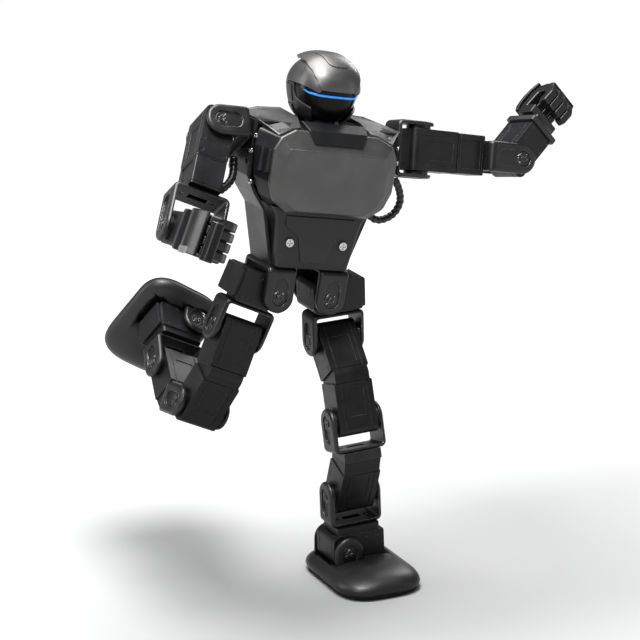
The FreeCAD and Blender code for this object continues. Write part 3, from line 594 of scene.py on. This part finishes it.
# ---- feet -----------------------------------------------------------------------------------------------
FOOT_SHIFT, FOOT_HALF_WIDTH = 11.0, 29.8
FOOT_FRONT, FOOT_REAR = -55.8, 25.8
TOE_RADIUS, HEEL_RADIUS = 24, 20


def foot_rings(side, levels):
    points = []
    for z, inset in levels:
        middle, half = side * FOOT_SHIFT, FOOT_HALF_WIDTH - inset
        left, right = middle - half, middle + half
        front, rear = FOOT_FRONT + inset, FOOT_REAR - inset
        corners = [(right, rear, HEEL_RADIUS), (left, rear, HEEL_RADIUS), (left, front, TOE_RADIUS),
                   (right, front, TOE_RADIUS)]
        points += [(p.x, p.y, z) for p in rounded_outline(corners, 10)]
    return points


def build_foot(name):
    side, place, body = SIDES[name], foot_frame(name), f"{name}_foot"
    dome = [(-17.0, 1.2), (-16.6, 0.4), (-15.0, 0.0), (-13.0, 0.5), (-11.2, 1.6), (-9.6, 3.4), (-8.2, 6.0),
            (-7.0, 9.6), (-6.1, 14.0), (-5.6, 19.0), (-5.5, 23.0)]
    # The foot dome takes the darker copy of the gunmetal paint: painted shade.
    shell = piece(f"{name}_foot_dome", place, foot_rings(side, dome), rings_to_faces(44, len(dome)), body,
                  "gunmetal", replaces=[f"{name}_foot_shell"], angle=50, finish="painted_shade_gunmetal")
    inner, outer = sorted((-side * 12.5, side * 31.5))
    pocket = [(inner, -14.3), (outer, -14.3), (outer, 14.3), (inner, 14.3)]
    slots = [(-10.8, -19.4), (10.8, -19.4), (10.8, 19.4), (-10.8, 19.4)]
    for label, outline, floor in (("pocket", pocket, -15.5), ("slots", slots, -16.1)):
        outline = rounded_outline([(a, b, 1.5) for a, b in outline], 3)
        cutter = prism(f"{name}_{label}", place, outline, "z", floor, 4.0, body, "charcoal")
        carve(shell, cutter)
    welt = [(-20.0, 2.2), (-19.4, 1.3), (-18.7, 1.1), (-18.4, 1.7), (-18.1, 1.1), (-17.2, 1.1), (-17.0, 1.6)]
    piece(f"{name}_foot_welt", place, foot_rings(side, welt), rings_to_faces(44, len(welt)), body,
          "sole_rubber", replaces=[f"{name}_foot_sole"], angle=50)


def carve(thing, cutter):
    """Cuts one piece out of another for good, and removes the cutter."""
    cut = thing.modifiers.new("cut", "BOOLEAN")
    cut.object, cut.operation, cut.solver = cutter, "DIFFERENCE", "EXACT"
    graph = bpy.context.evaluated_depsgraph_get()
    mesh = bpy.data.meshes.new_from_object(thing.evaluated_get(graph))
    thing.modifiers.remove(cut)
    thing.data = mesh
    bpy.data.objects.remove(cutter)


# ---- hands ----------------------------------------------------------------------------------------------
FINGER_PITCH, FINGER_WIDTH, FINGERS_LOW = 6.2, 5.5, -12.2
FINGER_REACH = (0.0, 0.7, 0.5, -0.6)      # how much further each finger's knuckles stand
FINGER_CURL = [(10.7, 13.5), (10.8, 26.0), (7.4, 32.8), (1.0, 35.2), (-7.0, 33.6), (-11.2, 28.0),
               (-10.4, 19.4), (-5.8, 16.8), (-3.8, 20.5), (-5.0, 25.5), (-1.0, 28.5), (3.5, 26.5), (4.8, 13.5)]


def build_hand(name):
    """A glossy fist: four curled fingers side by side, a thumb bar across them and a light trim."""
    side, place, body = SIDES[name], forearm_frame(name), f"{name}_forearm"
    flip = Matrix.Scale(side, 4, (1, 0, 0))
    place = place @ flip
    outline = rounded_outline([(12.5, 15.0, 2), (-12.5, 15.0, 2), (-12.5, -15.0, 2), (12.5, -15.0, 2)], 4)
    prism(f"{name}_wrist_plate", place, outline, "z", 0.0, 3.9, body, "charcoal",
          replaces=[f"{name}_hand_shell"], bevel=0.5)
    neck = rounded_outline([(8.5, 10.0, 2), (-8.5, 10.0, 2), (-8.5, -9.5, 2), (8.5, -9.5, 2)], 3)
    prism(f"{name}_wrist_neck", place, neck, "z", 3.4, 9.0, body, "charcoal", bevel=0.4, finish="gloss_black")
    palm = [(12.0, 10.4), (-12.0, 10.4), (-12.0, -5.0), (12.0, -5.0)]
    prism(f"{name}_palm", place, palm, "z", 8.0, 15.0, body, "charcoal", bevel=1.0, finish="gloss_black")
    back = [(11.0, 7.6), (13.6, 11.5), (14.7, 17.0), (14.8, 23.0), (13.4, 29.0), (10.2, 35.2), (8.4, 34.4),
            (11.2, 28.5), (12.2, 23.0), (12.1, 17.5), (11.0, 13.0), (9.0, 9.4)]
    prism(f"{name}_hand_back", place, back, "x", -13.3, 13.3, body, "charcoal", bevel=0.6,
          finish="gloss_black")
    trim = [(13.0, 10.4), (13.7, 11.4), (14.8, 17.0), (14.9, 23.1), (13.5, 29.1), (12.9, 29.0), (14.3, 23.0),
            (14.2, 17.0)]
    prism(f"{name}_hand_trim", place, trim, "x", 9.5, 13.5, body, "pale_grey", bevel=0.15)
    for index in range(4):
        low = FINGERS_LOW + FINGER_PITCH * index
        curl = [(a, b + FINGER_REACH[index] * (b > 25)) for a, b in FINGER_CURL]
        stands_for = [f"{name}_fingers"] if index == 0 else []
        prism(f"{name}_finger_{index + 1}", place, curl, "x", low, low + FINGER_WIDTH, body, "charcoal",
              replaces=stands_for, bevel=1.1, angle=20, finish="gloss_black")
    thumb = [(1.2, 34.4), (6.6, 33.2), (7.0, 36.6), (4.4, 39.2), (-0.2, 39.7), (-1.4, 36.0)]
    prism(f"{name}_thumb", place, thumb, "x", -9.0, 14.5, body, "charcoal", bevel=1.0, angle=20,
          finish="gloss_black")


# ---- bands and cables -----------------------------------------------------------------------------------
def build_shin_bands(name):
    """The light cap under the knee bracket and the dark slanted band below it."""
    place, body = shin_frame(name), f"{name}_shin"
    tilt = math.radians(SHIN_WEDGE)
    drop = SHIN_GAP / 2
    centre = Vector((math.sin(tilt) * drop, -BRACKET_BASE - drop - math.cos(tilt) * drop))
    run = Vector((math.cos(tilt), math.sin(tilt))) * SERVO_HALF_WIDTH
    front, back = centre - run, centre + run
    w = SERVO_HALF_WIDTH
    step_front, step_back = -BRACKET_BASE - 6.6, -BRACKET_BASE - 0.6
    cap = [(-w, -BRACKET_BASE), (-w, step_front), (w, step_back), (w, -BRACKET_BASE)]
    band = [(-w + 0.5, step_front), (front.x + 0.3, front.y), (back.x - 0.3, back.y), (w - 0.5, step_back)]
    prism(f"{name}_shin_cap", place, cap, "x", -13.4, 13.4, body, "bracket_grey",
          replaces=[f"{name}_shin_spacer"], bevel=0.5)
    prism(f"{name}_shin_band", place, band, "x", -12.9, 12.9, body, "servo_black", bevel=0.4)


CABLE_SIDES, CABLE_RADIUS = 20, 2.35
WRAP_PITCH, WRAP_LOW, WRAP_RISE = 3.4, 0.84, 0.27


def cable_line(name, route):
    """Points along a smooth line whose control points are the cable's route."""
    curve = bpy.data.curves.new(name, "CURVE")
    curve.dimensions = "3D"
    spline = curve.splines.new("NURBS")
    spline.points.add(len(route) - 1)
    for point, place in zip(spline.points, route):
        point.co = (*place, 1.0)
    spline.order_u = 3
    spline.use_endpoint_u = True
    spline.resolution_u = 16
    carrier = bpy.data.objects.new(name, curve)
    line = bpy.data.meshes.new_from_object(carrier)
    path = [v.co.copy() for v in line.vertices]
    bpy.data.objects.remove(carrier)
    bpy.data.curves.remove(curve)
    bpy.data.meshes.remove(line)
    return path


def build_cable(name, place, route, parent):
    """A bundle of wires in a spiral wrap along a curved route; the finished cable rides on no body."""
    path = cable_line(f"{name}_cable_line", route)
    points, travelled = [], 0.0
    side = (path[1] - path[0]).orthogonal()
    for i, here in enumerate(path):
        ahead = (path[min(i + 1, len(path) - 1)] - path[max(i - 1, 0)]).normalized()
        side = (side - ahead * side.dot(ahead)).normalized()
        other = ahead.cross(side)
        travelled += (here - path[i - 1]).length if i else 0.0
        for k in range(CABLE_SIDES):
            angle = 2 * math.pi * k / CABLE_SIDES
            ridge = abs(math.cos(math.pi * travelled / WRAP_PITCH - angle / 2))
            r = CABLE_RADIUS * (WRAP_LOW + WRAP_RISE * ridge ** 0.6)
            points.append(here + side * (r * math.cos(angle)) + other * (r * math.sin(angle)))
    cable = piece(f"{name}_wrapped_cable", place, points, rings_to_faces(CABLE_SIDES, len(path)), parent,
                  "cable_black",
                  replaces=[f"{name}_cable"], angle=60)
    cable.parent = None
    del cable["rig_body"]
    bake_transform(cable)


L_CABLE = [(62.5, 4.0, 78.4), (70.0, 3.5, 68.8), (68.0, 4.5, 55.5), (56.5, 5.5, 49.0), (47.5, 6.5, 53.5),
           (44.0, 8.0, 61.0)]
R_CABLE = [(-4.0, -14.0, -6.0), (-4.6, -23.0, -5.6), (-9.0, -33.0, -4.4), (-17.0, -38.8, -3.0)]


def right_shoulder_frame():
    x = -joint_axis("r_shoulder_pitch")
    z = joint_axis("r_shoulder_roll") * SIDES["r"]
    return frame_from(joint_point("r_shoulder_pitch"), x, z.cross(x))


# ---- the whole robot ------------------------------------------------------------------------------------
record_slots = {part["node"]: part["material_slot"] for part in frame["record"]["subparts"]}
for node, thing in frame["nodes"].items():
    thing.data.materials.clear()
    # The back shell takes the darker copy of the gunmetal paint: painted shade.
    thing.data.materials.append(FINISHES["painted_shade_gunmetal" if node == "back_shell" else record_slots[node]])
    thing.data.set_sharp_from_angle(angle=math.radians(32))

build_head()
build_chest()
build_waist()
for name in SIDES:
    build_foot(name)
    build_hand(name)
    build_shin_bands(name)
build_cable("l", TORSO, L_CABLE, "torso")
build_cable("r", right_shoulder_frame(), R_CABLE, "r_shoulder")


# ---- studio ---------------------------------------------------------------------------------------------
def area_light(name, place, target, width, height, power, leave_out=None):
    """A soft box. Objects in the `leave_out` collection don't receive its light."""
    light = bpy.data.lights.new(name, "AREA")
    light.shape, light.size, light.size_y, light.energy = "RECTANGLE", width, height, power
    thing = bpy.data.objects.new(name, light)
    thing.location = place
    thing.rotation_euler = (Vector(target) - Vector(place)).to_track_quat("-Z", "Y").to_euler()
    bpy.context.scene.collection.objects.link(thing)
    if leave_out:
        thing.light_linking.receiver_collection = leave_out
    return thing


def build_studio():
    mesh = bpy.data.meshes.new("floor")
    mesh.from_pydata([(-40, -40, 0), (40, -40, 0), (40, 40, 0), (-40, 40, 0)], [], [(0, 1, 2, 3)])
    floor = bpy.data.objects.new("floor", mesh)
    bpy.context.scene.collection.objects.link(floor)
    n = Nodes("pale_floor_painted_glow")
    n.shader.inputs["Base Color"].default_value = (0.86, 0.86, 0.86, 1)
    n.put(n.shader, "Roughness", n.ramp(n.noise(8.0), 0.85, 0.95))
    n.shader.inputs["Specular IOR Level"].default_value = 0.1
    # Painted glow: the floor emits light, none within 0.14 m of the robot's place and rising to 0.9 at 0.8 m,
    # so the far floor turns white and the floor near the robot stays dimmer.
    n.shader.inputs["Emission Color"].default_value = (1, 1, 1, 1)
    reach = n.add("ShaderNodeVectorMath")
    reach.operation = "LENGTH"
    n.tree.links.new(n.coordinates, reach.inputs[0])
    n.put(n.shader, "Emission Strength", n.ramp(reach.outputs["Value"], 0.0, 0.9, 0.14, 0.8))
    mesh.materials.append(n.material)
    world = bpy.data.worlds.new("studio")
    bpy.context.scene.world = world
    world.use_nodes = True
    world.node_tree.nodes["Background"].inputs[0].default_value = (0.95, 0.975, 1.0, 1)
    world.node_tree.nodes["Background"].inputs[1].default_value = 0.14
    off_floor = bpy.data.collections.new("off_floor")
    off_floor.objects.link(floor)
    off_floor.collection_objects[0].light_linking.link_state = "EXCLUDE"
    middle = (0, 0, 0.18)
    area_light("floor_box", (-0.09, 0.07, 0.80), (-0.09, 0.07, 0.0), 0.46, 0.46, 8.0)
    area_light("overhead", (-0.30, -0.35, 1.10), (-0.02, 0, 0.2), 0.40, 0.30, 16.0, off_floor)
    area_light("key", (-0.85, -0.80, 0.95), middle, 0.4, 0.4, 6.0, off_floor)
    area_light("fill", (1.1, -0.8, 0.5), middle, 0.25, 0.9, 1.4, off_floor)
    area_light("rim_left", (-0.9, 0.45, 0.55), middle, 0.2, 0.8, 4.0, off_floor)
    area_light("rim_right", (0.8, 0.7, 0.8), middle, 0.25, 0.6, 4.0, off_floor)


VIEW_AZIMUTH, VIEW_ELEVATION, VIEW_DISTANCE, VIEW_LENS = -25.0, 14.5, 1.2, 104.74
TARGET_HEIGHT, TARGET_SHIFT = 0.176, -0.0136


def build_camera():
    azimuth, elevation = math.radians(VIEW_AZIMUTH), math.radians(VIEW_ELEVATION)
    ankle = joint_point("l_ankle_roll")
    target = Vector((ankle.x + TARGET_SHIFT, ankle.y, TARGET_HEIGHT))
    back = Vector((math.sin(azimuth) * math.cos(elevation), -math.cos(azimuth) * math.cos(elevation),
                   math.sin(elevation)))
    data = bpy.data.cameras.new("camera")
    data.lens, data.sensor_width, data.clip_start, data.clip_end = VIEW_LENS, 36.0, 0.05, 100.0
    camera = bpy.data.objects.new("camera", data)
    camera.location = target + back * VIEW_DISTANCE
    camera.rotation_euler = (-back).to_track_quat("-Z", "Y").to_euler()
    bpy.context.scene.collection.objects.link(camera)
    bpy.context.scene.camera = camera


build_studio()
build_camera()
bpy.context.scene.view_settings.view_transform = "Standard"
bpy.context.view_layer.update()
